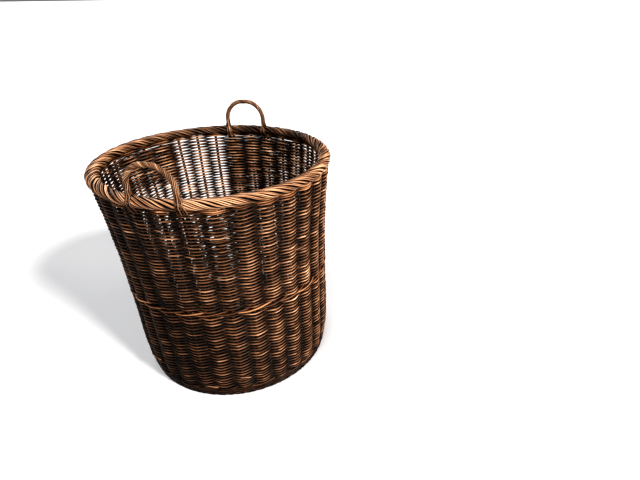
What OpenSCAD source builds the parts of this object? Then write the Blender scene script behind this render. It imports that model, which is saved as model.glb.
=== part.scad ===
// Round woven-willow laundry basket: a stick base, upright stakes, bands of weave,
// a rolled border and two rope-wrapped bow handles pushed down beside the stakes.
// Millimetres, +Z up, origin on the floor at the centre of the base.
// The handles stand on the -Y side (front) and the +Y side (back).

/* [Body] */
// Outside diameter of the wall where it meets the floor
foot_d = 588; // [520:1:640]
// Outside diameter of the wall at the mouth, just under the border
mouth_d = 652; // [580:1:740]
// Height of the top of the border
rim_top = 655; // [560:1:760]
// Height of the middle wale's lower edge
wale_z = 304; // [260:1:340]

/* [Rods] */
// Diameter of one side stake
stake_d = 10; // [8:0.5:12]
// Diameter of one weaving rod
weaver_d = 5; // [4:0.5:6]
// Number of side stakes, a multiple of four
stake_count = 32; // [24:4:36]
// Diameter of one base stick
stick_d = 8.5; // [7:0.5:10]
// How far a stake's foot reaches into the base weave
stake_foot = 58; // [40:1:70]
// Bend radius of a stake where it turns up the wall
stake_bend = 14; // [12:1:16]

/* [Bands] */
// Height of the foot border
foot_h = 8; // [6:0.5:12]
// Height of the upsett wale's top edge
upsett_top = 34; // [32:1:40]
// Height of the middle wale
wale_h = 15; // [10:1:20]
// Height of the top wale
top_wale_h = 12; // [8:1:16]
// How far a wale stands proud of the wall, each side
wale_proud = 2; // [1:0.5:4]

/* [Border] */
// Radial width of the rolled border
rim_w = 34; // [30:1:42]
// Height of the rolled border
rim_h = 23; // [18:1:28]
// How far the border's middle stands outside the wall's middle
rim_shift = 0.5; // [0:0.5:4]

/* [Base] */
// Half length of the square cross in the middle of the base
cross_half = 40; // [36:1:46]
// Width of the binding round the cross
binding_w = 10; // [8:1:20]
// Thickness of the shaved middle of a threaded stick
shave_t = 3.4; // [2.5:0.1:4]

/* [Handles] */
// Diameter of a handle's bow rod
bow_d = 9; // [7:0.5:11]
// Diameter of a handle over its wrapping rods
wrap_d = 16; // [14:0.5:22]
// Height of the top of a handle above the border
handle_rise = 88; // [70:1:110]
// Radius of the bow's two corners
bow_r = 56; // [35:1:58]
// How far a bow leg reaches down the wall below the border
leg_depth = 130; // [90:1:180]
// Width of one lashing, along the border
lash_w = 12; // [8:1:16]
// Thickness of one lashing
lash_t = 4.5; // [3:0.5:6]

/* [Hidden] */
// Clearance of a rod in the channel that holds it, on the radius
channel_gap = 0.15;
// Gap between pieces that stand beside each other
side_gap = 0.3;
// Gap between neighbouring rods that lie in one layer
rod_gap = 1;
// A bent corner is this much slimmer than the straight rod, on the diameter
corner_slim = 0.3;
// How far a bent corner runs into the straight rod at each end
corner_lap = 1;
// Bend radius of a base stick where it leaves the cross
stick_bend = 12;
// Distance from the cross's edge to the corner where its sticks fan out
fan_out = 6;
// How far the foot border reaches in under the base weave
foot_ledge = 4;
$fn = 48;

// Wall and stakes
wall_t = stake_d + 2 * weaver_d;
weave_top = rim_top - rim_h;
top_wale_z = weave_top - top_wale_h;
wale_top = wale_z + wale_h;
foot_mid_r = foot_d / 2 - wall_t / 2;
mouth_mid_r = mouth_d / 2 - wall_t / 2;
wall_tilt = atan2(mouth_mid_r - foot_mid_r, weave_top);
function mid_r(z) = foot_mid_r + z * tan(wall_tilt);
stake_top = rim_top - rim_h / 2;
stake_pitch = 360 / stake_count;
stake_foot_r = foot_mid_r - stake_foot;

// Base
base_t = stick_d + weaver_d + 3;
base_z = foot_h + base_t / 2;
base_r = min(mid_r(foot_h), mid_r(foot_h + base_t)) - wall_t / 2 - side_gap;
group = stake_count / 4;
stick_step = 2 * (cross_half - 3) / group;
stick_r = base_r - stick_d - 3;
stick_lead = asin((stake_d / 2 + stick_d / 2 + 2 * rod_gap) / stake_foot_r);
strip_w = stick_d - 1;
slit_t = shave_t + 2 * channel_gap;
slit_half = stick_step * (group - 1) / 2 + strip_w / 2 + rod_gap;
kink_x = cross_half + fan_out;
binding_in_r = norm([kink_x, cross_half]) + 3;
binding_r = binding_in_r + binding_w;

// Handles
rim_mid_r = mouth_mid_r + rim_shift;
// The legs are parallel and the stakes lean, so they come this much closer over a leg's depth.
leg_drift = leg_depth * abs(tan(wall_tilt)) * sin(stake_pitch);
leg_to_stake = stake_d / 2 + bow_d / 2 + rod_gap + leg_drift;
leg_lead = asin(leg_to_stake / mouth_mid_r);
leg_x = mouth_mid_r * cos(stake_pitch);
leg_y = mouth_mid_r * sin(stake_pitch);
front_az = -90 - leg_lead;
back_az = 90 + leg_lead;
corner_r = min(bow_r, 0.94 * leg_y);
bow_top = (rim_h + handle_rise - wrap_d / 2) / cos(wall_tilt);
wrap_start = (rim_h + rod_gap) / cos(wall_tilt);
mm_per_degree = rim_mid_r * PI / 180;
lash_free = (wrap_d / 2 + lash_w / 2 + rod_gap) / mm_per_degree;
lash_past_stake = (leg_to_stake + stake_d / 2 + lash_w / 2 + rod_gap) / mm_per_degree;

function two_digits(i) = i < 10 ? str("0", i) : str(i);
STAKES = [for (i = [1:stake_count]) str("side_stake_", two_digits(i))];

// A straight rod between two points of the XZ plane.
module rod(a, b, d) {
    dx = b[0] - a[0];
    dz = b[1] - a[1];
    translate([a[0], 0, a[1]])
        rotate([0, atan2(dx, dz), 0])
            cylinder(h = norm([dx, dz]), d = d);
}

// Direction of the straight run from point a to point b, in degrees from +X.
function heading(a, b) = atan2(b[1] - a[1], b[0] - a[0]);

// A turn brought into the range from -180 to 180 degrees.
function half_turn(a) = a > 180 ? a - 360 : a < -180 ? a + 360 : a;

// A point the distance t along the run from a towards b.
function along(a, b, t) = a + (b - a) * t / norm(b - a);

// A rounded corner at point b of the run a, b, c, with bend radius r.
module corner(a, b, c, r, d) {
    turn = half_turn(heading(b, c) - heading(a, b));
    side = turn > 0 ? heading(a, b) + 90 : heading(a, b) - 90;
    centre = along(b, a, r * tan(abs(turn) / 2)) + r * [cos(side), sin(side)];
    lap = corner_lap / r * 180 / PI;
    first = turn > 0 ? heading(a, b) - 90 : heading(a, b) + turn + 90;
    translate([centre[0], 0, centre[1]])
        rotate([90, 0, 0])
            rotate([0, 0, first - lap])
                rotate_extrude(angle = abs(turn) + 2 * lap)
                    translate([r, 0])
                        circle(d = d - corner_slim);
}

// How much of a straight run the rounded corner b of the run a, b, c takes up.
function cut(a, b, c, r) = r * tan(abs(half_turn(heading(b, c) - heading(a, b))) / 2);

// A bent rod in the XZ plane through the given points, every inner corner rounded to radius r.
module bent_rod(points, r, d) {
    last = len(points) - 1;
    cuts = [for (i = [0:last]) (i == 0 || i == last) ? 0 :
        cut(points[i - 1], points[i], points[i + 1], r)];
    for (i = [0:last - 1])
        rod(
            along(points[i], points[i + 1], cuts[i]),
            along(points[i + 1], points[i], cuts[i + 1]),
            d
        );
    for (i = [1:last - 1])
        corner(points[i - 1], points[i], points[i + 1], r, d);
}

// The part of a rod that lies on the wall's middle line from height z0 to z1.
module wall_rod(z0, z1, d) {
    rod([mid_r(z0), z0], [mid_r(z1), z1], d);
}

module side_stake(i) {
    color("#4a2f1d")
        rotate([0, 0, i * stake_pitch])
            bent_rod(
                [[stake_foot_r, base_z], [mid_r(base_z), base_z], [mid_r(stake_top), stake_top]],
                stake_bend,
                stake_d
            );
}

// The channels of the upright stakes between two heights.
module stake_channels(z0, z1) {
    for (i = [1:stake_count])
        rotate([0, 0, i * stake_pitch])
            wall_rod(z0, z1, stake_d + 2 * channel_gap);
}

// The channels of the stakes' feet and bends.
module foot_channels() {
    for (i = [1:stake_count])
        rotate([0, 0, i * stake_pitch])
            bent_rod(
                [
                    [stake_foot_r - channel_gap, base_z],
                    [mid_r(base_z), base_z],
                    [mid_r(upsett_top + 1), upsett_top + 1]
                ],
                stake_bend,
                stake_d + 2 * channel_gap
            );
}

// Where base stick i crosses the middle, and where its far end lies beside a stake's foot.
function stick_y(i) = (i - (group - 1) / 2) * stick_step;
function stick_az(i) = (i - group / 2) * stake_pitch + stick_lead;
function stick_end(i) = stick_r * [cos(stick_az(i)), sin(stick_az(i))];

// A bent rod laid flat at the base's middle height.
module flat_rod(points, d) {
    translate([0, 0, base_z]) rotate([-90, 0, 0]) bent_rod(points, stick_bend, d);
}

module base_sticks_pierced() {
    color("#5a3d26")
        for (i = [0:group - 1])
            difference() {
                flat_rod(
                    [
                        -stick_end(group - 1 - i),
                        [-kink_x, stick_y(i)],
                        [kink_x, stick_y(i)],
                        stick_end(i)
                    ],
                    stick_d
                );
                translate([0, stick_y(i), 0]) middle_box(2 * slit_half, 2 * stick_d, slit_t);
            }
}

// A box centred on the middle of the base.
module middle_box(x, y, z) {
    translate([-x / 2, -y / 2, base_z - z / 2]) cube([x, y, z]);
}

module base_sticks_threaded() {
    start_x = slit_half + rod_gap;
    color("#5a3d26")
        rotate([0, 0, 90])
            for (i = [0:group - 1])
                union() {
                    translate([0, stick_y(i), 0])
                        middle_box(2 * (start_x + corner_lap), strip_w, shave_t);
                    flat_rod([[start_x, stick_y(i)], [kink_x, stick_y(i)], stick_end(i)], stick_d);
                    flat_rod(
                        [
                            [-start_x, stick_y(i)],
                            [-kink_x, stick_y(i)],
                            -stick_end(group - 1 - i)
                        ],
                        stick_d
                    );
                }
}

// The channels of the fanned-out arms of all the base sticks.
module stick_channels() {
    for (i = [0:group - 1], turn = [0:90:270])
        rotate([0, 0, turn])
            translate([0, 0, base_z])
                rotate([-90, 0, 0])
                    rod(
                        [kink_x, stick_y(i)],
                        along(stick_end(i), [kink_x, stick_y(i)], -channel_gap),
                        stick_d + 2 * channel_gap
                    );
}

// A flat ring of the base weave, closed round the sticks.
module base_ring(r_in, r_out) {
    difference() {
        translate([0, 0, foot_h])
            difference() {
                cylinder(h = base_t, r = r_out, $fn = 128);
                translate([0, 0, -1]) cylinder(h = base_t + 2, r = r_in, $fn = 128);
            }
        stick_channels();
    }
}

module cross_binding() {
    color("#5f3c22") base_ring(binding_in_r, binding_r);
}

module base_weave() {
    color("#55351e")
        difference() {
            base_ring(binding_r + side_gap, base_r);
            foot_channels();
        }
}

// The section of a bundle of rods: a flat oval w wide and h high, standing on z = 0.
module oval(w, h) {
    translate([0, h / 2]) {
        square([w - h, h], center = true);
        for (s = [-1, 1]) translate([s * (w - h) / 2, 0]) circle(d = h);
    }
}

// A closed ring of that section, at height z.
module oval_ring(r, z, w, h) {
    translate([0, 0, z])
        rotate_extrude($fn = 128)
            translate([r, 0])
                oval(w, h);
}

// A closed band of plain weave between two heights.
module weave_band(z0, z1) {
    rotate_extrude($fn = 128)
        polygon([
            [mid_r(z0) - wall_t / 2, z0],
            [mid_r(z0) + wall_t / 2, z0],
            [mid_r(z1) + wall_t / 2, z1],
            [mid_r(z1) - wall_t / 2, z1]
        ]);
}

// A wale: a thicker ring of rods that stands a little proud of the wall.
module wale(z0, h) {
    oval_ring(mid_r(z0 + h / 2), z0, wall_t + 2 * wale_proud, h);
}

module foot_border() {
    foot_w = wall_t + 2 * wale_proud + foot_ledge;
    color("#7a4f2c") oval_ring(foot_mid_r - foot_ledge / 2, 0, foot_w, foot_h);
}

module upsett_wale() {
    color("#5c3a20")
        difference() {
            weave_band(foot_h, upsett_top);
            foot_channels();
        }
}

module lower_siding() {
    color("#4f311c")
        difference() {
            weave_band(upsett_top, wale_z);
            stake_channels(upsett_top - 1, wale_z + 1);
        }
}

module middle_wale() {
    color("#74492a")
        difference() {
            wale(wale_z, wale_h);
            stake_channels(wale_z - 1, wale_top + 1);
        }
}

module upper_siding() {
    color("#4f311c")
        difference() {
            weave_band(wale_top, top_wale_z);
            stake_channels(wale_top - 1, top_wale_z + 1);
            leg_channels();
        }
}

module top_wale() {
    color("#5c3a20")
        difference() {
            wale(top_wale_z, top_wale_h);
            stake_channels(top_wale_z - 1, weave_top + 1);
            leg_channels();
            rotate([0, 0, front_az]) lashings(1, side_gap);
            rotate([0, 0, back_az]) lashings(-1, side_gap);
        }
}

module rim_border() {
    color("#8a5c36")
        difference() {
            oval_ring(rim_mid_r, weave_top, rim_w, rim_h);
            stake_channels(weave_top - 1, stake_top + channel_gap);
            leg_channels();
        }
}

// Puts a shape drawn in the XZ plane into the leaning plane of a handle at azimuth 0,
// with its z = 0 at the top of the weave.
module handle_plane() {
    translate([leg_x, 0, weave_top]) rotate([0, wall_tilt, 0]) rotate([0, 0, 90]) children();
}

// The channels of all four bow legs, through the wall and the border.
module leg_channels() {
    for (az = [front_az, back_az], s = [-1, 1])
        rotate([0, 0, az])
            handle_plane()
                rod(
                    [s * leg_y, -leg_depth - channel_gap],
                    [s * leg_y, rim_h + bow_d],
                    bow_d + 2 * channel_gap
                );
}

// The bow's shape from height z0, measured up from the top of the weave.
module arch(z0, d) {
    handle_plane()
        bent_rod([[leg_y, z0], [leg_y, bow_top], [-leg_y, bow_top], [-leg_y, z0]], corner_r, d);
}

module handle_wrap() {
    difference() {
        arch(wrap_start, wrap_d);
        arch(wrap_start - 1, bow_d + 2 * channel_gap);
    }
}

// One lashing: a flat ring of rods round the border at azimuth az, grown by gap.
module lashing(az, gap) {
    inner_w = rim_w + 2 * (side_gap - gap);
    inner_h = rim_h + 2 * (side_gap - gap);
    rotate([0, 0, az])
        translate([rim_mid_r, lash_w / 2 + gap, weave_top])
            rotate([90, 0, 0])
                linear_extrude(lash_w + 2 * gap)
                    difference() {
                        translate([0, -side_gap - lash_t - gap])
                            oval(
                                inner_w + 2 * (lash_t + 2 * gap),
                                inner_h + 2 * (lash_t + 2 * gap)
                            );
                        translate([0, gap - side_gap]) oval(inner_w, inner_h);
                    }
}

// The four lashings of a handle at azimuth 0, one on each side of each leg. The legs' stakes
// stand on the side that way points to: 1 for the greater azimuth, -1 for the smaller.
module lashings(way, gap = 0) {
    for (leg = [-stake_pitch, stake_pitch]) {
        lashing(leg + way * lash_past_stake, gap);
        lashing(leg - way * lash_free, gap);
    }
}

module front_handle_bow() {
    color("#6b4526") rotate([0, 0, front_az]) arch(-leg_depth, bow_d);
}

module front_handle_wrap() {
    color("#9a6a3e") rotate([0, 0, front_az]) handle_wrap();
}

module front_handle_lashings() {
    color("#9a6a3e") rotate([0, 0, front_az]) lashings(1);
}

module back_handle_bow() {
    color("#6b4526") rotate([0, 0, back_az]) arch(-leg_depth, bow_d);
}

module back_handle_wrap() {
    color("#9a6a3e") rotate([0, 0, back_az]) handle_wrap();
}

module back_handle_lashings() {
    color("#9a6a3e") rotate([0, 0, back_az]) lashings(-1);
}

base_sticks_pierced();
base_sticks_threaded();
cross_binding();
base_weave();
foot_border();
upsett_wale();
lower_siding();
middle_wale();
upper_siding();
top_wale();
rim_border();
front_handle_bow();
front_handle_wrap();
front_handle_lashings();
back_handle_bow();
back_handle_wrap();
back_handle_lashings();
for (i = [1:stake_count])
    side_stake(i);
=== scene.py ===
import math

import bpy
import numpy as np
from mathutils import Matrix, Vector


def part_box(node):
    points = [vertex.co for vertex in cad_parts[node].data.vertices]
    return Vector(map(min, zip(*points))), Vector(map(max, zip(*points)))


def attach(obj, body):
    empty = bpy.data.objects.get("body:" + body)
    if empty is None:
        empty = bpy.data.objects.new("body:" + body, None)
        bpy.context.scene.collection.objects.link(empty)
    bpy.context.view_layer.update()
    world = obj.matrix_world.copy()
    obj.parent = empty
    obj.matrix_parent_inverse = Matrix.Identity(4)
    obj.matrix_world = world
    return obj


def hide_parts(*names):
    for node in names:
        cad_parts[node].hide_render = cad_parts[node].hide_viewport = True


# A tall round basket of stained willow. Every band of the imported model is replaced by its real
# rods: weavers that pass inside and outside the stakes, twined wales, a rolled border of many
# strands, and twisted handles whose strands fan out over the border.

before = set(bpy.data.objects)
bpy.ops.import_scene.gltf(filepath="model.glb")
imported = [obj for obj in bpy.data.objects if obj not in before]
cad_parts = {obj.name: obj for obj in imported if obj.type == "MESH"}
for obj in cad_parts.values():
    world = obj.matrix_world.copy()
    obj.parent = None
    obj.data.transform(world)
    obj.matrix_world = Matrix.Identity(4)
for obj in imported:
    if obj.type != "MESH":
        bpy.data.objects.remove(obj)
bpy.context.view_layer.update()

TURN = 2 * math.pi
STAKES = sum(name.startswith("side_stake_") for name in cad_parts)
PITCH = TURN / STAKES
rng = np.random.default_rng(7)

# ---------------------------------------------------------------- sizes, in metres
STAKE_R = 0.005
WEAVER_R = 0.0025
ROW_STEP = 0.0049
WALE_R = 0.0027
STRAND_R = 0.0021
CORE_DEPTH = 0.0042
STAKE_FOOT = 0.058  # how far a stake's foot runs in from the wall
STEPS_PER_STAKE = 8
SIDES = 8
RIM = np.linspace(0, TURN, SIDES, endpoint=False)
# Painted shade on a rod in a bundle: its rim is darker against its neighbours and on its inner side,
# where shade falls.
BUNDLE_CREASE_SHADE = 0.85 * np.sin(RIM) ** 2 + 0.3 * np.clip(-np.cos(RIM), 0, 1)

foot_low, foot_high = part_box("foot_border")
upsett_low, upsett_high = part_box("upsett_wale")
lower_low, lower_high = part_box("lower_siding")
wale_low, wale_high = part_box("middle_wale")
upper_low, upper_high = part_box("upper_siding")
top_low, top_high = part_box("top_wale")
rim_low, rim_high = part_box("rim_border")
base_low, base_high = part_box("base_weave")
bind_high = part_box("cross_binding")[1]
wrap_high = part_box("front_handle_wrap")[1]

RIM_TOP = rim_high.z
RIM_H = rim_high.z - rim_low.z
RIM_W = 0.034
RIM_R = rim_high.x - RIM_W / 2
RIM_Z = (rim_low.z + rim_high.z) / 2
BASE_Z = (base_low.z + base_high.z) / 2
WALL_SKIN = 0.005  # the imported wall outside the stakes: one weaver
CONE_FOOT = upsett_high.x - STAKE_R - WALL_SKIN
CONE_MOUTH = upper_high.x - STAKE_R - WALL_SKIN
LEAN = math.atan2(CONE_MOUTH - CONE_FOOT, upper_high.z - upsett_high.z)

# How far the real wall bulges out of the straight cone, by height: a soft foot, a full
# belly, a drawn-in waist over it and a flared mouth.
BULGE = [(0.0, -0.007), (0.03, 0.002), (0.08, 0.005), (0.13, 0.0048), (0.21, 0.001),
         (0.30, -0.0022), (0.38, -0.0045), (0.45, -0.0055), (0.53, -0.0032), (0.59, 0.0008),
         (0.66, 0.0022)]


def wall_r(z):
    """Radius of the middle of the wall at a height."""
    z = np.asarray(z, float)
    cone = CONE_FOOT + (z - upsett_high.z) * math.tan(LEAN)
    heights, outs = zip(*BULGE)
    spread = [np.interp(z + step, heights, outs) for step in (-0.03, -0.015, 0, 0.015, 0.03)]
    return cone + np.mean(spread, axis=0)


def settle(points):
    """The basket's natural lean and unevenness, the same for every piece."""
    p = np.array(points, float)
    x, y, z = p[..., 0], p[..., 1], p[..., 2]
    az, r = np.arctan2(y, x), np.hypot(x, y)
    h = np.clip(z / RIM_TOP, 0, 1.2)
    out = h * (0.0016 * np.cos(2 * az + 0.5) + 0.0010 * np.cos(3 * az + 2.0))
    out += 0.0006 * np.sin(7 * az + 11 * z) * np.sin(TURN * z / 0.21)
    out *= np.clip(r / 0.3, 0, 1)
    p[..., 0] += out * np.cos(az) - 0.0042 * h
    p[..., 1] += out * np.sin(az) - 0.0006 * h
    p[..., 2] += h * 0.0012 * np.sin(2 * az + 1.1) * np.clip(r / 0.3, 0, 1)
    waist = np.sin(math.pi * np.clip(h, 0, 1)) ** 2 * np.clip(r / 0.3, 0, 1)
    p[..., 2] += waist * (0.003 * np.cos(az + 1.22) + 0.005 * np.cos(2 * az + 2.44))
    return p


def ring(az, z, r):
    """Points of the row frame from azimuth, height and radius."""
    az, z, r = np.broadcast_arrays(az, z, r)
    return np.stack([r * np.cos(az), r * np.sin(az), z], axis=-1)


def outward(az):
    """Unit vectors pointing out from the axis."""
    az = np.asarray(az, float)
    return np.stack([np.cos(az), np.sin(az), np.zeros_like(az)], axis=-1)


def smooth_line(points, count):
    """A smooth curve through the given points, sampled evenly in its parameter."""
    p = np.asarray(points, float)
    p = np.vstack([2 * p[0] - p[1], p, 2 * p[-1] - p[-2]])
    t = np.linspace(0, len(points) - 1 - 1e-6, count)
    i = t.astype(int)
    f = (t - i)[:, None]
    a, b, c, d = p[i], p[i + 1], p[i + 2], p[i + 3]
    return 0.5 * (2 * b + (c - a) * f + (2 * a - 5 * b + 4 * c - d) * f**2
                  + (3 * b - a - 3 * c + d) * f**3)


# ---------------------------------------------------------------- rods as meshes
class Rods:
    """Collects round rods and turns them into one mesh with tone and grain."""

    def __init__(self):
        self.verts, self.tones, self.quads, self.quad_s, self.quad_v = [], [], [], [], []
        self.caps, self.cap_s, self.cap_r = [], [], []
        self.count, self.length, self.girth = 0, 0.0, []

    def add(self, path, radius, side_ref, tone, closed=False, stain=0.0):
        """One rod along a path. side_ref points to one side of it and never along it.

        The painted crease shade passed in darkens each point of the rod's rim, which starts at the
        side of side_ref.
        """
        path = np.asarray(path, float)
        n = len(path)
        radius = np.broadcast_to(np.asarray(radius, float), n)
        tone = np.broadcast_to(np.asarray(tone, float), n)
        if closed:
            tangent = np.roll(path, -1, 0) - np.roll(path, 1, 0)
        else:
            tangent = np.gradient(path, axis=0)
        tangent /= np.linalg.norm(tangent, axis=1, keepdims=True)
        ref = np.broadcast_to(np.asarray(side_ref, float), path.shape)
        a = ref - tangent * np.sum(ref * tangent, axis=1, keepdims=True)
        a /= np.linalg.norm(a, axis=1, keepdims=True)
        b = np.cross(tangent, a)
        circle = np.cos(RIM)[None, :, None] * a[:, None] + np.sin(RIM)[None, :, None] * b[:, None]
        self.verts.append((path[:, None] + radius[:, None, None] * circle).reshape(-1, 3))
        # Painted shade in the creases comes off the tone of each rim point.
        self.tones.append((tone[:, None] - stain + np.zeros(SIDES)).ravel())
        m = n if closed else n - 1
        i, j = np.meshgrid(np.arange(m), np.arange(SIDES), indexing="ij")
        i2, j2 = (i + 1) % n, (j + 1) % SIDES
        base = self.count
        quad = np.stack([i * SIDES + j, i * SIDES + j2, i2 * SIDES + j2, i2 * SIDES + j], -1) + base
        self.quads.append(quad.reshape(-1, 4))
        step = np.linalg.norm(np.roll(path, -1, 0) - path, axis=1)[:m]
        start = np.concatenate([[0], np.cumsum(step)])
        cap_room = 0 if closed else 2.6 * radius[0]
        s0 = self.length + cap_room + start[:-1]
        s1 = self.length + cap_room + start[1:]
        self.quad_s.append(np.stack([s0[i], s0[i], s1[i], s1[i]], -1).reshape(-1, 4))
        self.quad_v.append(np.stack([j, j + 1, j + 1, j], -1).reshape(-1, 4) / SIDES)
        if not closed:
            self.caps.append(base + np.arange(SIDES)[::-1])
            self.caps.append(base + (n - 1) * SIDES + np.arange(SIDES))
            self.cap_s += [self.length + 1.3 * radius[0], self.length + cap_room + start[-1]
                           + 1.3 * radius[-1]]
            self.cap_r += [radius[0], radius[-1]]
            self.length += cap_room + 2.6 * radius[-1]
        self.length += start[-1]
        self.girth.append(TURN * float(np.mean(radius)))
        self.count += n * SIDES

    def mesh(self, name):
        """The mesh: smooth sides, flat cut ends, a tone per point and two maps."""
        verts = settle(np.vstack(self.verts))
        quads = np.vstack(self.quads)
        caps = np.array(self.caps).reshape(-1, SIDES) if self.caps else np.zeros((0, SIDES), int)
        loops = np.concatenate([quads.ravel(), caps.ravel()])
        starts = np.concatenate([np.arange(len(quads)) * 4,
                                 len(quads) * 4 + np.arange(len(caps)) * SIDES])
        mesh = bpy.data.meshes.new(name)
        mesh.vertices.add(len(verts))
        mesh.vertices.foreach_set("co", verts.ravel())
        mesh.loops.add(len(loops))
        mesh.loops.foreach_set("vertex_index", loops.astype(np.int32))
        mesh.polygons.add(len(starts))
        mesh.polygons.foreach_set("loop_start", starts.astype(np.int32))
        smooth = np.ones(len(starts), bool)
        smooth[len(quads):] = False
        mesh.polygons.foreach_set("use_smooth", smooth)
        mesh.update(calc_edges=True)
        # The tone holds each rod's own tone with painted shade and painted light taken into it.
        tone = mesh.attributes.new("tone", "FLOAT", "POINT")
        tone.data.foreach_set("value", np.concatenate(self.tones).astype(np.float32))

        s, v = np.vstack(self.quad_s), np.vstack(self.quad_v)
        cap_s, cap_r = np.array(self.cap_s), np.array(self.cap_r)
        cap_u = cap_s[:, None] + cap_r[:, None] * np.cos(RIM)
        cap_v = 0.5 + 0.4 * np.sin(RIM) * np.ones((len(caps), 1))
        grain = np.stack([np.concatenate([s.ravel(), cap_u.ravel()]),
                          np.concatenate([v.ravel(), cap_v.ravel()])], -1)
        # The bake map lays every rod out as one long ribbon, wrapped into shelves.
        girth = float(np.mean(self.girth))
        width = math.sqrt(max(self.length, 0.05) * girth) + 0.03
        begin = np.concatenate([np.repeat(s[:, 0], 4), np.repeat(cap_s, SIDES)])
        shelf = np.floor(begin / width)
        shelves = shelf.max() + 1
        u = (grain[:, 0] - shelf * width + 0.01) / (width + 0.03)
        bake = np.stack([u, (shelf + 0.06 + 0.88 * grain[:, 1]) / shelves], -1)
        for title, values in (("OFBake", bake), ("Grain", grain)):
            layer = mesh.uv_layers.new(name=title)
            layer.data.foreach_set("uv", values.astype(np.float32).ravel())
        return mesh

    def piece(self, name, material, slot, *nodes):
        """The finished piece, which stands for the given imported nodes."""
        mesh = self.mesh(name)
        mesh.materials.append(material)
        thing = bpy.data.objects.new(name, mesh)
        bpy.context.collection.objects.link(thing)
        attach(thing, "root")
        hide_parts(*nodes)


# ---------------------------------------------------------------- materials
def willow(name, colours, rough, mapped=True):
    """Stained willow: bark streaks along the rod, blotches, and a tone for each rod, which also
    carries painted shade and painted light.

    Where the mesh has no tone and no grain map, both come from noise in object space.
    """
    material = bpy.data.materials.new(name)
    material.use_nodes = True
    nodes, links = material.node_tree.nodes, material.node_tree.links
    shader = nodes["Principled BSDF"]

    def add(kind, **values):
        node = nodes.new(kind)
        for key, value in values.items():
            setattr(node, key, value)
        return node

    def maths(operation, a, b):
        node = add("ShaderNodeMath", operation=operation)
        for socket, value in zip(node.inputs, (a, b)):
            if isinstance(value, (int, float)):
                socket.default_value = value
            else:
                links.new(value, socket)
        return node.outputs[0]

    def noise(vector, scale, detail, roughness=0.55):
        node = add("ShaderNodeTexNoise")
        node.inputs["Scale"].default_value = scale
        node.inputs["Detail"].default_value = detail
        node.inputs["Roughness"].default_value = roughness
        links.new(vector, node.inputs["Vector"])
        return node.outputs["Fac"]

    place = add("ShaderNodeTexCoord").outputs["Object"]
    if mapped:
        tone = add("ShaderNodeAttribute", attribute_name="tone").outputs["Fac"]
        grain_map = add("ShaderNodeUVMap", uv_map="Grain").outputs["UV"]
        stretch = add("ShaderNodeMapping")
        stretch.inputs["Scale"].default_value = (28, 5, 1)
        links.new(grain_map, stretch.inputs["Vector"])
        along = stretch.outputs["Vector"]
    else:
        tone = noise(place, 35, 1)
        along = place
    streaks = noise(along, 1.6 if mapped else 160, 4, 0.65)
    fine = noise(along, 9 if mapped else 420, 3)
    blotch = noise(place, 9, 3)

    mixed = maths("MULTIPLY", tone, 0.52)
    mixed = maths("ADD", mixed, maths("MULTIPLY", streaks, 0.34))
    mixed = maths("ADD", mixed, maths("MULTIPLY", blotch, 0.30))
    ramp = add("ShaderNodeValToRGB")
    links.new(mixed, ramp.inputs["Fac"])
    stops = ramp.color_ramp.elements
    for _ in colours[2:]:
        stops.new(1)
    for stop, at, colour in zip(stops, (0.22, 0.42, 0.60, 0.78, 0.95), colours):
        stop.position = at
        stop.color = (*colour, 1)
    links.new(ramp.outputs["Color"], shader.inputs["Base Color"])

    links.new(maths("ADD", maths("MULTIPLY", fine, 0.30), rough - 0.15), shader.inputs["Roughness"])
    bump = add("ShaderNodeBump")
    bump.inputs["Strength"].default_value = 0.35
    bump.inputs["Distance"].default_value = 0.0006
    links.new(maths("ADD", streaks, maths("MULTIPLY", fine, 0.5)), bump.inputs["Height"])
    links.new(bump.outputs["Normal"], shader.inputs["Normal"])
    shader.inputs["Specular IOR Level"].default_value = 0.12
    return material


# The darkest stops of these ramps are reached where the painted crease shade lowers the tone.
WALL_COLOURS = [(0.0020, 0.0011, 0.0007), (0.024, 0.0105, 0.0045), (0.155, 0.073, 0.035),
                (0.46, 0.280, 0.175), (0.80, 0.60, 0.44)]
STAKE_COLOURS = [(0.003, 0.002, 0.001), (0.010, 0.005, 0.003), (0.036, 0.017, 0.008),
                 (0.085, 0.044, 0.022), (0.17, 0.10, 0.056)]
WALE_COLOURS = [(0.004, 0.002, 0.001), (0.036, 0.014, 0.006), (0.175, 0.076, 0.032),
                (0.46, 0.245, 0.120), (0.75, 0.50, 0.30)]
BORDER_COLOURS = [(0.002, 0.0010, 0.0006), (0.060, 0.028, 0.014), (0.34, 0.180, 0.097),
                  (0.72, 0.485, 0.315), (0.92, 0.75, 0.58)]
HANDLE_COLOURS = [(0.003, 0.0014, 0.0008), (0.045, 0.019, 0.009), (0.24, 0.127, 0.069),
                  (0.56, 0.37, 0.230), (0.84, 0.65, 0.48)]
STICK_COLOURS = [(0.012, 0.007, 0.004), (0.030, 0.016, 0.008), (0.060, 0.032, 0.016),
                 (0.11, 0.062, 0.033), (0.18, 0.11, 0.06)]

weaver_bark = willow("willow_weaver", WALL_COLOURS, 0.46)
stake_bark = willow("willow_stake", STAKE_COLOURS, 0.50)
wale_bark = willow("willow_wale", WALE_COLOURS, 0.44)
border_bark = willow("willow_border", BORDER_COLOURS, 0.42)
handle_bark = willow("willow_handle", HANDLE_COLOURS, 0.42)
stick_bark = willow("willow_stick", STICK_COLOURS, 0.55, mapped=False)


# ---------------------------------------------------------------- weave
def rod_life(azimuths, row, joins):
    """Tone and thickness along a closed row made of several rods, butt to tip."""
    spots = np.sort(rng.integers(0, STAKES // 2, joins)) * 2 * PITCH + (row % 2 + 0.5) * PITCH
    part = np.searchsorted(spots, azimuths) % joins
    start = spots[part - 1]
    span = (spots[part % joins] - start) % TURN
    span = np.where(span < 1e-6, TURN, span)
    grown = ((azimuths - start) % TURN) / span
    tones = rng.normal(0.48, 0.08, joins)[part]
    return np.clip(tones, 0, 1), 1.10 - 0.20 * np.clip(grown, 0, 1), spots


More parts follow.
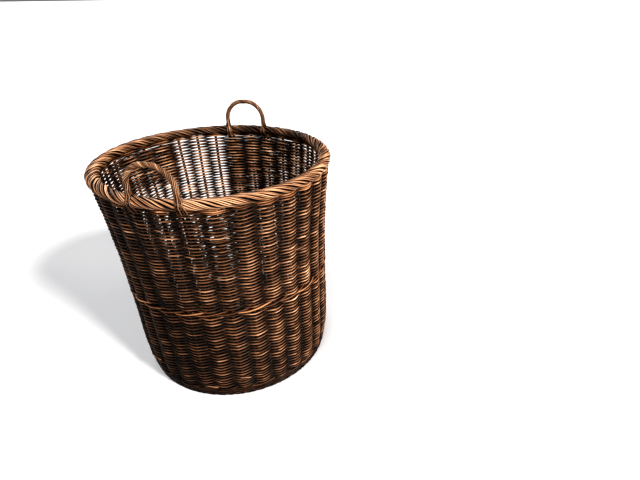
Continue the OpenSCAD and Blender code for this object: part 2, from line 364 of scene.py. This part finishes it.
# How tightly the rows are beaten down, by azimuth in degrees, near the mouth, in the middle
# and near the foot. At 1 the rods inside the stakes stand above those outside and close the
# view between them from above, and below 0 they stand lower and open it from the front.
BEATEN_HIGH = [(-180, 1), (-152, 0.8), (-143, -0.55), (-88, -0.55), (-74, 0.2), (-45, 0.1),
               (-25, 0.7), (-10, 1), (103, 1), (107, 0), (136, 0), (141, 1), (180, 1)]
BEATEN_LOW = [(-180, 0), (-140, -0.4), (-88, -0.5), (-72, 0.2), (-45, 0.1), (-20, 0.8),
              (0, 1), (104, 1), (109, 0), (180, 0)]
BEATEN_FOOT = [(-180, 0.42), (-150, 0.2), (-140, -0.3), (-88, 0), (0, 1), (104, 1), (112, 0.42),
               (180, 0.42)]


def beaten(az, z):
    """How tightly the row at height z is beaten down at each azimuth."""
    degrees = (np.degrees(az) + 180) % 360 - 180
    curves = (BEATEN_HIGH, BEATEN_LOW, BEATEN_FOOT)
    high, low, foot = (np.interp(degrees, *zip(*curve)) for curve in curves)
    low = foot + (low - foot) * np.clip((z - 0.26) / 0.06, 0, 1)
    return low + (high - low) * np.clip((z - 0.46) / 0.06, 0, 1)


def plain_row(rods, row, z, size=1.0, loose=0.0, light=0.0):
    """One weaver passing inside one stake and outside the next, all the way round."""
    az = np.arange(STAKES * STEPS_PER_STAKE) * PITCH / STEPS_PER_STAKE
    tone, thick, spots = rod_life(az, row, int(rng.integers(1, 4)))
    side = np.cos(math.pi * az / PITCH + math.pi * row)
    reach = STAKE_R + WEAVER_R * 0.96
    phases = rng.uniform(0, TURN, 3)
    out = reach * (side + 0.10 * np.cos(3 * math.pi * az / PITCH + math.pi * row))
    out += 0.0004 * np.sin(5 * az + phases[0])
    lift = 0.00018 * np.sin(STAKES / 2 * az + phases[1]) + 0.0002 * np.sin(9 * az + phases[2])
    sag = 0.0009 * np.sin(3 * az + 4 * z) + 0.0004 * np.sin(8 * az + 13 * z)
    height = z + lift + sag + loose * np.sin(STAKES / 4 * az + phases[2])
    height = height - ROW_STEP / 2 * side * (beaten(az, z) + 0.12 * np.sin(11 * az + phases[0]))
    path = ring(az, height, wall_r(z) + out)
    # Painted shade where the weaver crosses through the wall between the stakes.
    crossing_shade = 0.30 * (1 - np.abs(side)) ** 1.5
    patches = np.repeat(0.11 * rng.normal(size=STAKES * 2), STEPS_PER_STAKE // 2)
    # Painted light: the outside passes facing the front right are made lighter, where the key light
    # falls.
    painted_key_light = 0.32 * np.clip(np.cos(az + 0.30), 0, 1) ** 2 * np.clip(side, 0, 1)
    # Painted light: the inside passes are made lighter, most at the back right, where the key light's
    # shadow falls.
    painted_inside_light = (0.22 + 0.22 * np.cos(az - 0.8)) * np.clip(-side, 0, 1)
    tone = np.clip(tone + light + painted_key_light + painted_inside_light, 0, 1) - crossing_shade + patches
    thick = thick * (1 + 0.14 * np.clip(beaten(az, z), 0, 1))
    # Painted shade: the rows are darker towards the foot.
    tone = tone - 0.22 * max(0, 1 - z / 0.26)
    rods.add(path, WEAVER_R * size * thick, (0, 0, 1), tone, closed=True, stain=row_crease_shade(side))
    return spots


def row_crease_shade(side):
    """Painted shade on a rod in a row: against its neighbours, and on the side turned to the stakes.

    side is 1 where the rod passes outside the stakes and -1 where it passes inside.
    """
    side = np.atleast_1d(side)[:, None]
    return 0.80 * np.cos(RIM) ** 2 + 0.85 * np.clip(-side * np.sin(RIM), 0, 1)


def loose_end(rods, az, z, inside):
    """The cut end of a weaver, left standing a little off the wall."""
    span = rng.uniform(0.4, 0.8) * PITCH
    t = np.linspace(0, 1, 6)
    way = rng.choice([-1, 1])
    reach = STAKE_R + 2.6 * WEAVER_R
    off = -reach * (0.85 + 0.35 * t) if inside else reach * (0.85 + 0.45 * t)
    path = ring(az + way * span * t, z + 0.0018 * t * rng.normal(), wall_r(z) + off)
    rods.add(path, WEAVER_R * np.array([0.9, 0.95, 0.95, 0.92, 0.9, 0.7]), (0, 0, 1),
             float(rng.uniform(0.3, 0.9)), stain=row_crease_shade(0))


def siding(rods, low, high, first_row, size=1.0):
    """Plain rows from one height to another. Returns the number of the next row."""
    rows = round((high - low) / (ROW_STEP * size))
    step = (high - low) / rows
    for i in range(rows):
        row, z = first_row + i, low + (i + 0.5) * step
        light = rng.choice([0.0, 0.16], p=[0.97, 0.03])
        spots = plain_row(rods, row, z, rng.normal(size, 0.05), light=light)
        for spot in spots:
            if rng.random() < 0.55:
                loose_end(rods, spot, z, True)
        if rng.random() < 0.18:
            loose_end(rods, rng.uniform(0, TURN), z, False)
    return first_row + rows


def wale_pass(rods, z, radius, strands, tall, start, light=0.0):
    """Rods twined round the stakes in turn: outside all but one stake, inside the next."""
    count = (STAKES + 2) * STEPS_PER_STAKE + 1
    u = np.linspace(0, STAKES + 2, count)
    for strand in range(strands):
        phase = TURN * (u - strand - start) / strands
        tone = np.clip(rng.normal(0.55, 0.12) + light + 0.10 * np.sin(u * 0.7 + strand), 0, 1)
        out = (STAKE_R + radius) * np.cos(phase) + 0.0012
        rise = tall * np.sin(phase) + (u - STAKES / 2) / STAKES * 0.0012
        az = u * PITCH + start * PITCH
        ends = np.clip(np.minimum(u, u[-1] - u) * 2 + 0.3, 0, 1)
        path = ring(az, z + rise, wall_r(z) + out)
        # Painted shade where the strand passes inside the stakes.
        tone = tone - 0.35 * np.clip(-np.cos(phase), 0, 1)
        rods.add(path, radius * (1 + 0.06 * np.sin(u + strand)) * ends, (0, 0, 1), tone,
                 stain=row_crease_shade(np.cos(phase)))


def rolled(rods, radius, z, half_flat, end_r, strands, turns, strand_r, light, wave):
    """A border rolled like a rope: strands run down its outer face as they go round."""
    steps = 480
    az = np.arange(steps) * TURN / steps
    flat, arc = 2 * half_flat, math.pi * end_r
    whole = 2 * (flat + arc)
    for strand in range(strands):
        pair = 0.16 if strand % 2 else -0.16
        drift = 0.0009 * np.sin(3 * az + rng.uniform(0, TURN))
        w = ((strand + pair) / strands + turns * az / TURN) % 1 * whole + drift
        w = w % whole
        on_top, on_out = w < flat, (w >= flat) & (w < flat + arc)
        below = (w >= flat + arc) & (w < 2 * flat + arc)
        a_out = (w - flat) / end_r
        a_in = (w - 2 * flat - arc) / end_r
        out = np.select([on_top, on_out, below], [w - half_flat, half_flat + end_r * np.sin(a_out),
                        half_flat - (w - flat - arc)], -half_flat - end_r * np.sin(a_in))
        up = np.select([on_top, on_out, below], [end_r + 0 * w, end_r * np.cos(a_out),
                       -end_r + 0 * w], -end_r * np.cos(a_in))
        swell = 1 + wave * np.cos(TURN * strand * 4 / strands + 0.6) / end_r
        out, up = out * swell, up * swell
        side = outward(az) * np.clip(out / end_r, -1, 1)[:, None]
        side[:, 2] = up / end_r
        # Painted shade: the border is darker over its back half and a little at the right.
        tone, thick = strand_life(az, light - 0.36 * np.clip(np.sin(az - 0.1), 0, 1))
        tone = tone - 0.05 * np.clip(np.cos(az - 0.2), 0, 1)
        path = ring(az, z + up, radius + out)
        rods.add(path, strand_r * thick, side, tone, closed=True, stain=BUNDLE_CREASE_SHADE)


def strand_life(az, light):
    """Tone and thickness of a border strand, made of short rods that follow each other."""
    cuts = np.sort(rng.uniform(0, TURN, 7))
    part = np.searchsorted(cuts, az) % 7
    tone = rng.normal(0.65, 0.13, 7)[part] + light + 0.06 * np.sin(23 * az)
    ease = np.exp(-np.min(np.abs(az[:, None] - cuts[None]), axis=1) * 60)
    return np.clip(tone, 0, 1), 1.0 + 0.05 * np.sin(5 * az + cuts[0]) - 0.10 * ease


def ring_core(rods, radius, z, half_flat, end_r):
    """Rods filling the middle of a rolled border, painted dark as the shade inside the roll."""
    az = np.arange(192) * TURN / 192
    for out in np.linspace(-half_flat - end_r * 0.35, half_flat + end_r * 0.35, 3):
        rods.add(ring(az, z, radius + out), end_r * 0.92, (0, 0, 1), -0.4, closed=True)


def build_wall():
    """The upsett wale, both sidings, the middle wale and the open rows under the border."""
    rods = Rods()
    margin = 0.0045
    for i, z in enumerate(np.linspace(upsett_low.z + margin, upsett_high.z - margin, 3)):
        # Painted shade: the upsett wale is darker, its lowest pass darkest.
        wale_pass(rods, z, WALE_R, 3, 0.00297, 5 * i, light=-0.30 if i else -0.42)
    rods.piece("upsett_rods", wale_bark, "willow_wale", "upsett_wale")

    # Each siding is two pieces, and its edge rows close up to the middle wale by this much.
    close = 0.0010
    split = (lower_low.z + lower_high.z) / 2
    rods = Rods()
    row = siding(rods, lower_low.z, split, 0, 1.09)
    rods.piece("lower_weave_low", weaver_bark, "willow_weaver", "lower_siding")
    rods = Rods()
    row = siding(rods, split, lower_high.z + close, row, 1.05)
    rods.piece("lower_weave_high", weaver_bark, "willow_weaver", "lower_siding")

    rods = Rods()
    middle = (wale_low.z + wale_high.z) / 2
    wale_pass(rods, middle - 0.0008, WALE_R * 1.04, 3, 0.0041, 2, light=0.06)
    rods.piece("waist_rods", wale_bark, "willow_wale", "middle_wale")

    split = (upper_low.z + upper_high.z) / 2
    rods = Rods()
    row = siding(rods, upper_low.z - close, split, row)
    rods.piece("upper_weave_low", weaver_bark, "willow_weaver", "upper_siding")
    rods = Rods()
    row = siding(rods, split, upper_high.z - 0.002, row)
    rods.piece("upper_weave_high", weaver_bark, "willow_weaver", "upper_siding")

    rods = Rods()
    for i, z in enumerate(np.linspace(top_low.z + 0.0012, top_high.z + 0.0006, 5)):
        plain_row(rods, row + i, z, 0.95, 0.0006, 0.05)
    rods.piece("open_rows", wale_bark, "willow_wale", "top_wale")


def build_stakes():
    """One stake for each packed stake: foot in the base weave, bend, wall, end in the border."""
    foot_r = wall_r(BASE_Z) - STAKE_FOOT
    bend = 0.014
    corner = wall_r(BASE_Z + bend)
    turn = np.linspace(0, math.pi / 2, 7)
    for i in range(1, STAKES + 1):
        az = i * PITCH
        along = [(r, BASE_Z) for r in np.linspace(foot_r, corner - bend, 7)[:-1]]
        along += [(corner - bend + bend * math.sin(t), BASE_Z + bend - bend * math.cos(t))
                  for t in turn]
        heights = np.linspace(BASE_Z + bend, RIM_Z, 46)[1:]
        along += [(float(wall_r(z)), z) for z in heights]
        along = np.array(along)
        crook = 0.0007 * np.sin(along[:, 1] * 23 + rng.uniform(0, TURN))
        path = ring(az + crook / 0.3, along[:, 1], along[:, 0])
        taper = np.interp(np.arange(len(path)), [0, 1, 12, len(path) - 1], [0.8, 1.0, 1.0, 0.90])
        across = np.cross(outward(az), (0, 0, 1))
        rods = Rods()
        rods.add(path, STAKE_R * 0.97 * taper, across, float(rng.uniform(0.2, 0.7)))
        rods.piece(f"stake_{i:02d}", stake_bark, "willow_stake", f"side_stake_{i:02d}")


def build_borders():
    """The rolled border at the mouth and the foot border."""
    rods = Rods()
    flat, end = (RIM_W - RIM_H) / 2, RIM_H / 2 - STRAND_R
    ring_core(rods, RIM_R, RIM_Z, flat, end - CORE_DEPTH)
    rolled(rods, RIM_R, RIM_Z, flat, end, 16, 11, STRAND_R, 0.0, 0.0005)
    rods.piece("rolled_border", border_bark, "willow_border", "rim_border")

    rods = Rods()
    foot_strand = 0.0019
    half = (foot_high.z - foot_low.z) / 2
    half_flat = 0.0075
    middle_r = foot_high.x - 0.016
    middle_z = half + 0.0002
    ring_core(rods, middle_r, middle_z, half_flat, half * 0.62)
    # Painted shade: the foot border is made darker.
    rolled(rods, middle_r, middle_z, half_flat, half - foot_strand, 9, 12, foot_strand, -0.62, 0.0)
    rods.piece("foot_rods", border_bark, "willow_border", "foot_border")


# ---------------------------------------------------------------- base
# Every arm of the fanned-out sticks ends at ARM_END, ARM_AXIS beside its stake's foot.
STICK_R = 0.00425
ARM_AXIS = 0.01125
ARM_END = 0.226
ARM_START = 0.075


def stick_points():
    """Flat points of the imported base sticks, and how far each is from the axis."""
    points = []
    for name in ("base_sticks_pierced", "base_sticks_threaded"):
        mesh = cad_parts[name].data
        co = np.empty(len(mesh.vertices) * 3)
        mesh.vertices.foreach_get("co", co)
        points.append(co.reshape(-1, 3)[:, :2])
    points = np.vstack(points)
    return points, np.hypot(points[:, 0], points[:, 1])


def arm_places(points, guesses):
    """Azimuth of every stick's arm among some of the sticks' points, near evenly spaced guesses."""
    found = np.arctan2(points[:, 1], points[:, 0])
    places = []
    for guess in guesses:
        off = np.angle(np.exp(1j * (found - guess)))
        places.append(np.angle(np.mean(np.exp(1j * found[np.abs(off) < PITCH / 2]))))
    return np.unwrap(np.array(places))


def build_base():
    """Randing round the fanned-out sticks, and the binding round the cross."""
    points, r = stick_points()
    last = float(r.max()) - 0.003
    lead = math.asin(ARM_AXIS / ARM_END)
    guesses = np.arange(STAKES) * PITCH + lead
    end = arm_places(points[r > last - 0.002], guesses)
    start = end
    near = points[np.abs(r - ARM_START) < 0.0015]
    if len(near) > 3 * STAKES:
        start = arm_places(near, guesses)

    def base_row(rods, row, radius, rod_r, tone):
        grown = np.clip((radius - ARM_START) / (last - ARM_START), 0, 1)
        arms = start + (end - start) * grown
        if radius > wall_r(BASE_Z) - STAKE_FOOT:
            arms = arms - lead * 0.5 * ARM_END / radius
        knots = np.concatenate([arms, [arms[0] + TURN]])
        u = np.arange(STAKES * 6) / 6
        az = np.interp(u, np.arange(STAKES + 1), knots)
        over = np.cos(math.pi * u + math.pi * row)
        wave = over + 0.12 * np.cos(3 * math.pi * u + math.pi * row)
        height = BASE_Z + (STICK_R + rod_r) * wave
        wiggle = 0.0003 * np.sin(7 * az + rng.uniform(0, TURN))
        rods.add(ring(az, height, radius + wiggle), rod_r, outward(az), tone, closed=True)

    rods = Rods()
    inner, outer = bind_high.x + 0.003, base_high.x - 0.001
    rows = round((outer - inner) / (ROW_STEP * 1.02))
    for row in range(rows):
        radius = inner + (row + 0.5) * (outer - inner) / rows
        base_row(rods, row, radius, WEAVER_R * rng.normal(0.97, 0.03), float(rng.uniform(0.2, 0.8)))
    rods.piece("base_rods", weaver_bark, "willow_weaver", "base_weave")

    rods = Rods()
    for row, radius in enumerate(np.linspace(bind_high.x - 0.0085, bind_high.x - 0.0005, 3)):
        base_row(rods, row, float(radius), WEAVER_R * 0.75, 0.6)
    rods.piece("binding_rods", weaver_bark, "willow_weaver", "cross_binding")

    for name in ("base_sticks_pierced", "base_sticks_threaded"):
        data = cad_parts[name].data
        data.materials.clear()
        data.materials.append(stick_bark)


# ---------------------------------------------------------------- handles
BOW_R = 0.0035
WRAP_R = 0.0016
WRAP_STRANDS = 10
LEG_DEPTH = 0.128
LEG_TO_STAKE = 0.01178  # between the axes of a handle's leg and of its stake
MOUTH_R = RIM_R - 0.0005
HANDLE_TURN = math.asin(LEG_TO_STAKE / MOUTH_R)
LEG_HALF = MOUTH_R * math.sin(PITCH)
ARCH_TOP = wrap_high.z - 0.008
LEG_R = MOUTH_R * math.cos(PITCH) + (ARCH_TOP - rim_low.z) * math.tan(LEAN)
CORNER_R = 0.056
CROWN = 0.0012


def arch_line(bottom, count):
    """The front bow's line from leg to leg: its points, their outer side and their front side."""
    rise = ARCH_TOP - bottom
    straight = rise - CORNER_R
    arc = CORNER_R * math.pi / 2
    flat = 2 * (LEG_HALF - CORNER_R)
    whole = 2 * straight + 2 * arc + flat
    s = np.linspace(0, whole, count)
    x, z = np.empty(count), np.empty(count)
    for i, at in enumerate(s):
        mirrored = at > whole / 2
        t = whole - at if mirrored else at
        if t < straight:
            px, pz = -LEG_HALF, bottom + t
        elif t < straight + arc:
            a = (t - straight) / CORNER_R
            px = -LEG_HALF + CORNER_R * (1 - math.cos(a))
            pz = bottom + straight + CORNER_R * math.sin(a)
        else:
            px, pz = -LEG_HALF + CORNER_R + (t - straight - arc), ARCH_TOP
        x[i], z[i] = (-px if mirrored else px), pz
    z = z + CROWN * np.cos(np.clip(x / LEG_HALF, -1, 1) * math.pi / 2) - CROWN * 0.6
    y = -(LEG_R + (z - ARCH_TOP) * math.tan(LEAN))
    line = np.stack([x, y, z], -1)
    tangent = np.gradient(line, axis=0)
    tangent /= np.linalg.norm(tangent, axis=1, keepdims=True)
    front = np.array([0, -math.cos(LEAN), math.sin(LEAN)])
    outer = np.cross(front, tangent)
    return line, outer, np.broadcast_to(front, line.shape)


def turned(points, back):
    """A handle's points turned to its place beside the stakes, at the front or the back."""
    turn = math.pi + HANDLE_TURN if back else -HANDLE_TURN
    cos, sin = math.cos(turn), math.sin(turn)
    return points @ np.array([[cos, sin, 0], [-sin, cos, 0], [0, 0, 1]])


def build_handle(side, back):
    """Bow, twisted wrapping, and the strands that fan out over the border."""
    rods = Rods()
    line, outer, front = arch_line(rim_low.z - LEG_DEPTH, 150)
    inside_wall = line[:, 2] < rim_low.z
    ends = np.where(inside_wall, 0.94, 1.0)
    rods.add(turned(line, back), BOW_R * ends, turned(front, back), 0.3)
    rods.piece(f"{side}_bow", stake_bark, "willow_stick", f"{side}_handle_bow")

    rods = Rods()
    line, outer, front = arch_line(RIM_TOP + 0.004, 130)
    s = np.linspace(0, 1, len(line))
    turns = 3.4
    reach = BOW_R + WRAP_R * 0.95
    for strand in range(WRAP_STRANDS):
        easy = s - 0.5 - 0.75 * np.sin(TURN * s) / TURN
        twist = TURN * (strand / WRAP_STRANDS + turns * easy)
        side_way = np.cos(twist)[:, None] * outer + np.sin(twist)[:, None] * front
        loose = 1 + 0.05 * np.sin(TURN * 3 * s + strand)
        path = line + reach * loose[:, None] * side_way
        tone = np.clip(rng.normal(0.68, 0.10) + 0.08 * np.sin(9 * s + strand), 0, 1)
        size = WRAP_R * (1 + 0.08 * rng.normal() + 0.05 * np.sin(5 * s + strand))
        # Painted shade between the wrapped strands.
        rods.add(turned(path, back), size, turned(side_way, back), tone, stain=1.35 * BUNDLE_CREASE_SHADE)
    rods.piece(f"{side}_wrapping", handle_bark, "willow_handle", f"{side}_handle_wrap")

    rods = Rods()
    for leg in (-1, 1):
        for face, spread in ((1, (-4, 0, 4.5, 11, 16)), (-1, (4, 0, -5, -11, -15))):
            for k, drift in enumerate(spread):
                fan_strand(rods, leg, face, k, drift / 1000, back)
    rods.piece(f"{side}_lashing", handle_bark, "willow_handle", f"{side}_handle_lashings")


def fan_strand(rods, leg, face, k, drift, back):
    """One strand from the foot of a leg, over a face of the border and into the wall."""
    leg_y = LEG_R + (RIM_TOP - ARCH_TOP) * math.tan(LEAN)
    leg_az = math.atan2(-leg_y, leg * LEG_HALF)
    centre_r = math.hypot(leg_y, LEG_HALF)
    lift = STRAND_R * 0.9
    shoulder = RIM_W / 2 - RIM_H / 2
    side = 0.0016 * (k - 2)
    end = drift + 0.0012 * rng.normal()
    knots = [
        (side, face * 0.0052, RIM_TOP + 0.020),
        (side + 0.15 * end, face * 0.0066, RIM_TOP + 0.010),
        (side + 0.35 * end, face * (shoulder + 0.0035), RIM_TOP + lift),
        (0.62 * end, face * (RIM_W / 2 - 0.003), RIM_Z + RIM_H * 0.33),
        (0.85 * end, face * (RIM_W / 2 + lift * 0.9), RIM_Z - RIM_H * 0.08),
        (end, face * (RIM_W / 2 - 0.0035), rim_low.z - 0.0005),
        (end * 1.04, face * 0.0105, rim_low.z - 0.009),
        (end * 1.05, face * 0.0045, rim_low.z - 0.016),
    ]
    curve = smooth_line(knots, 34)
    az = leg_az + curve[:, 0] / RIM_R
    radius = centre_r + (RIM_R - centre_r) * np.clip((RIM_TOP + 0.01 - curve[:, 2]) / 0.02, 0, 1)
    path = ring(az, curve[:, 2], radius + curve[:, 1])
    away = outward(az) * face
    away[:, 2] += 0.6
    taper = np.interp(np.arange(34), [0, 4, 20, 33], [0.9, 1.0, 1.0, 0.55])
    # Painted shade against the neighbouring strands.
    rods.add(turned(path, back), WRAP_R * taper * rng.normal(1.0, 0.06), turned(away, back),
             float(np.clip(rng.normal(0.40, 0.15), 0, 1)), stain=BUNDLE_CREASE_SHADE * 0.6)


# ---------------------------------------------------------------- studio
def plain_material(name, colour, rough):
    """A plain surface of one colour."""
    material = bpy.data.materials.new(name)
    material.use_nodes = True
    shader = material.node_tree.nodes["Principled BSDF"]
    shader.inputs["Base Color"].default_value = (*colour, 1)
    shader.inputs["Roughness"].default_value = rough
    return material


def sun_light(name, towards, strength, spread, colour):
    """A soft far light that shines from the given direction."""
    light = bpy.data.lights.new(name, "SUN")
    light.energy, light.angle, light.color = strength, math.radians(spread), colour
    lamp = bpy.data.objects.new(name, light)
    lamp.location = towards
    lamp.rotation_euler = Vector(towards).to_track_quat("Z", "Y").to_euler()
    bpy.context.collection.objects.link(lamp)


def build_studio():
    """Pale floor, three soft lights and a dim surround."""
    mesh = bpy.data.meshes.new("floor")
    half = 60
    corners = [(-half, -half, 0), (half, -half, 0), (half, half, 0), (-half, half, 0)]
    mesh.from_pydata(corners, [], [(0, 1, 2, 3)])
    mesh.materials.append(plain_material("pale_floor", (0.43, 0.435, 0.45), 0.9))
    floor = bpy.data.objects.new("floor", mesh)
    bpy.context.collection.objects.link(floor)
    world = bpy.data.worlds.new("studio")
    bpy.context.scene.world = world
    world.use_nodes = True
    world.node_tree.nodes["Background"].inputs["Color"].default_value = (1, 1, 1, 1)
    world.node_tree.nodes["Background"].inputs["Strength"].default_value = 0.18
    sun_light("key", (1.3, -0.68, 1.0), 6.1, 10, (1.0, 0.96, 0.91))
    sun_light("back", (-0.9, 1.0, 0.9), 1.4, 40, (1.0, 0.99, 0.98))
    sun_light("top", (-0.1, -0.55, 1.0), 2.4, 30, (1.0, 0.99, 0.97))


CAMERA_AT = (0.555, -1.164, 1.059)
CAMERA_YAW = math.radians(10.5)
CAMERA_DOWN = math.radians(30.8)
CAMERA_ROLL = math.radians(-1.0)
CAMERA_LENS = 25.28


def build_camera():
    """The photograph's place and angle."""
    data = bpy.data.cameras.new("camera")
    data.sensor_width, data.lens = 36, CAMERA_LENS
    data.shift_x, data.shift_y = -0.0214, 0.0232
    data.dof.use_dof = False
    camera = bpy.data.objects.new("camera", data)
    level = Matrix.Rotation(CAMERA_YAW, 4, "Z") @ Matrix.Rotation(math.pi / 2 - CAMERA_DOWN, 4, "X")
    camera.matrix_world = Matrix.Translation(CAMERA_AT) @ level @ Matrix.Rotation(CAMERA_ROLL, 4, "Z")
    bpy.context.collection.objects.link(camera)
    bpy.context.scene.camera = camera


build_wall()
build_stakes()
build_borders()
build_base()
for side, back in (("front", False), ("back", True)):
    build_handle(side, back)
build_studio()
build_camera()
bpy.context.scene.view_settings.view_transform = "Standard"
bpy.context.scene.view_settings.look = "High Contrast"
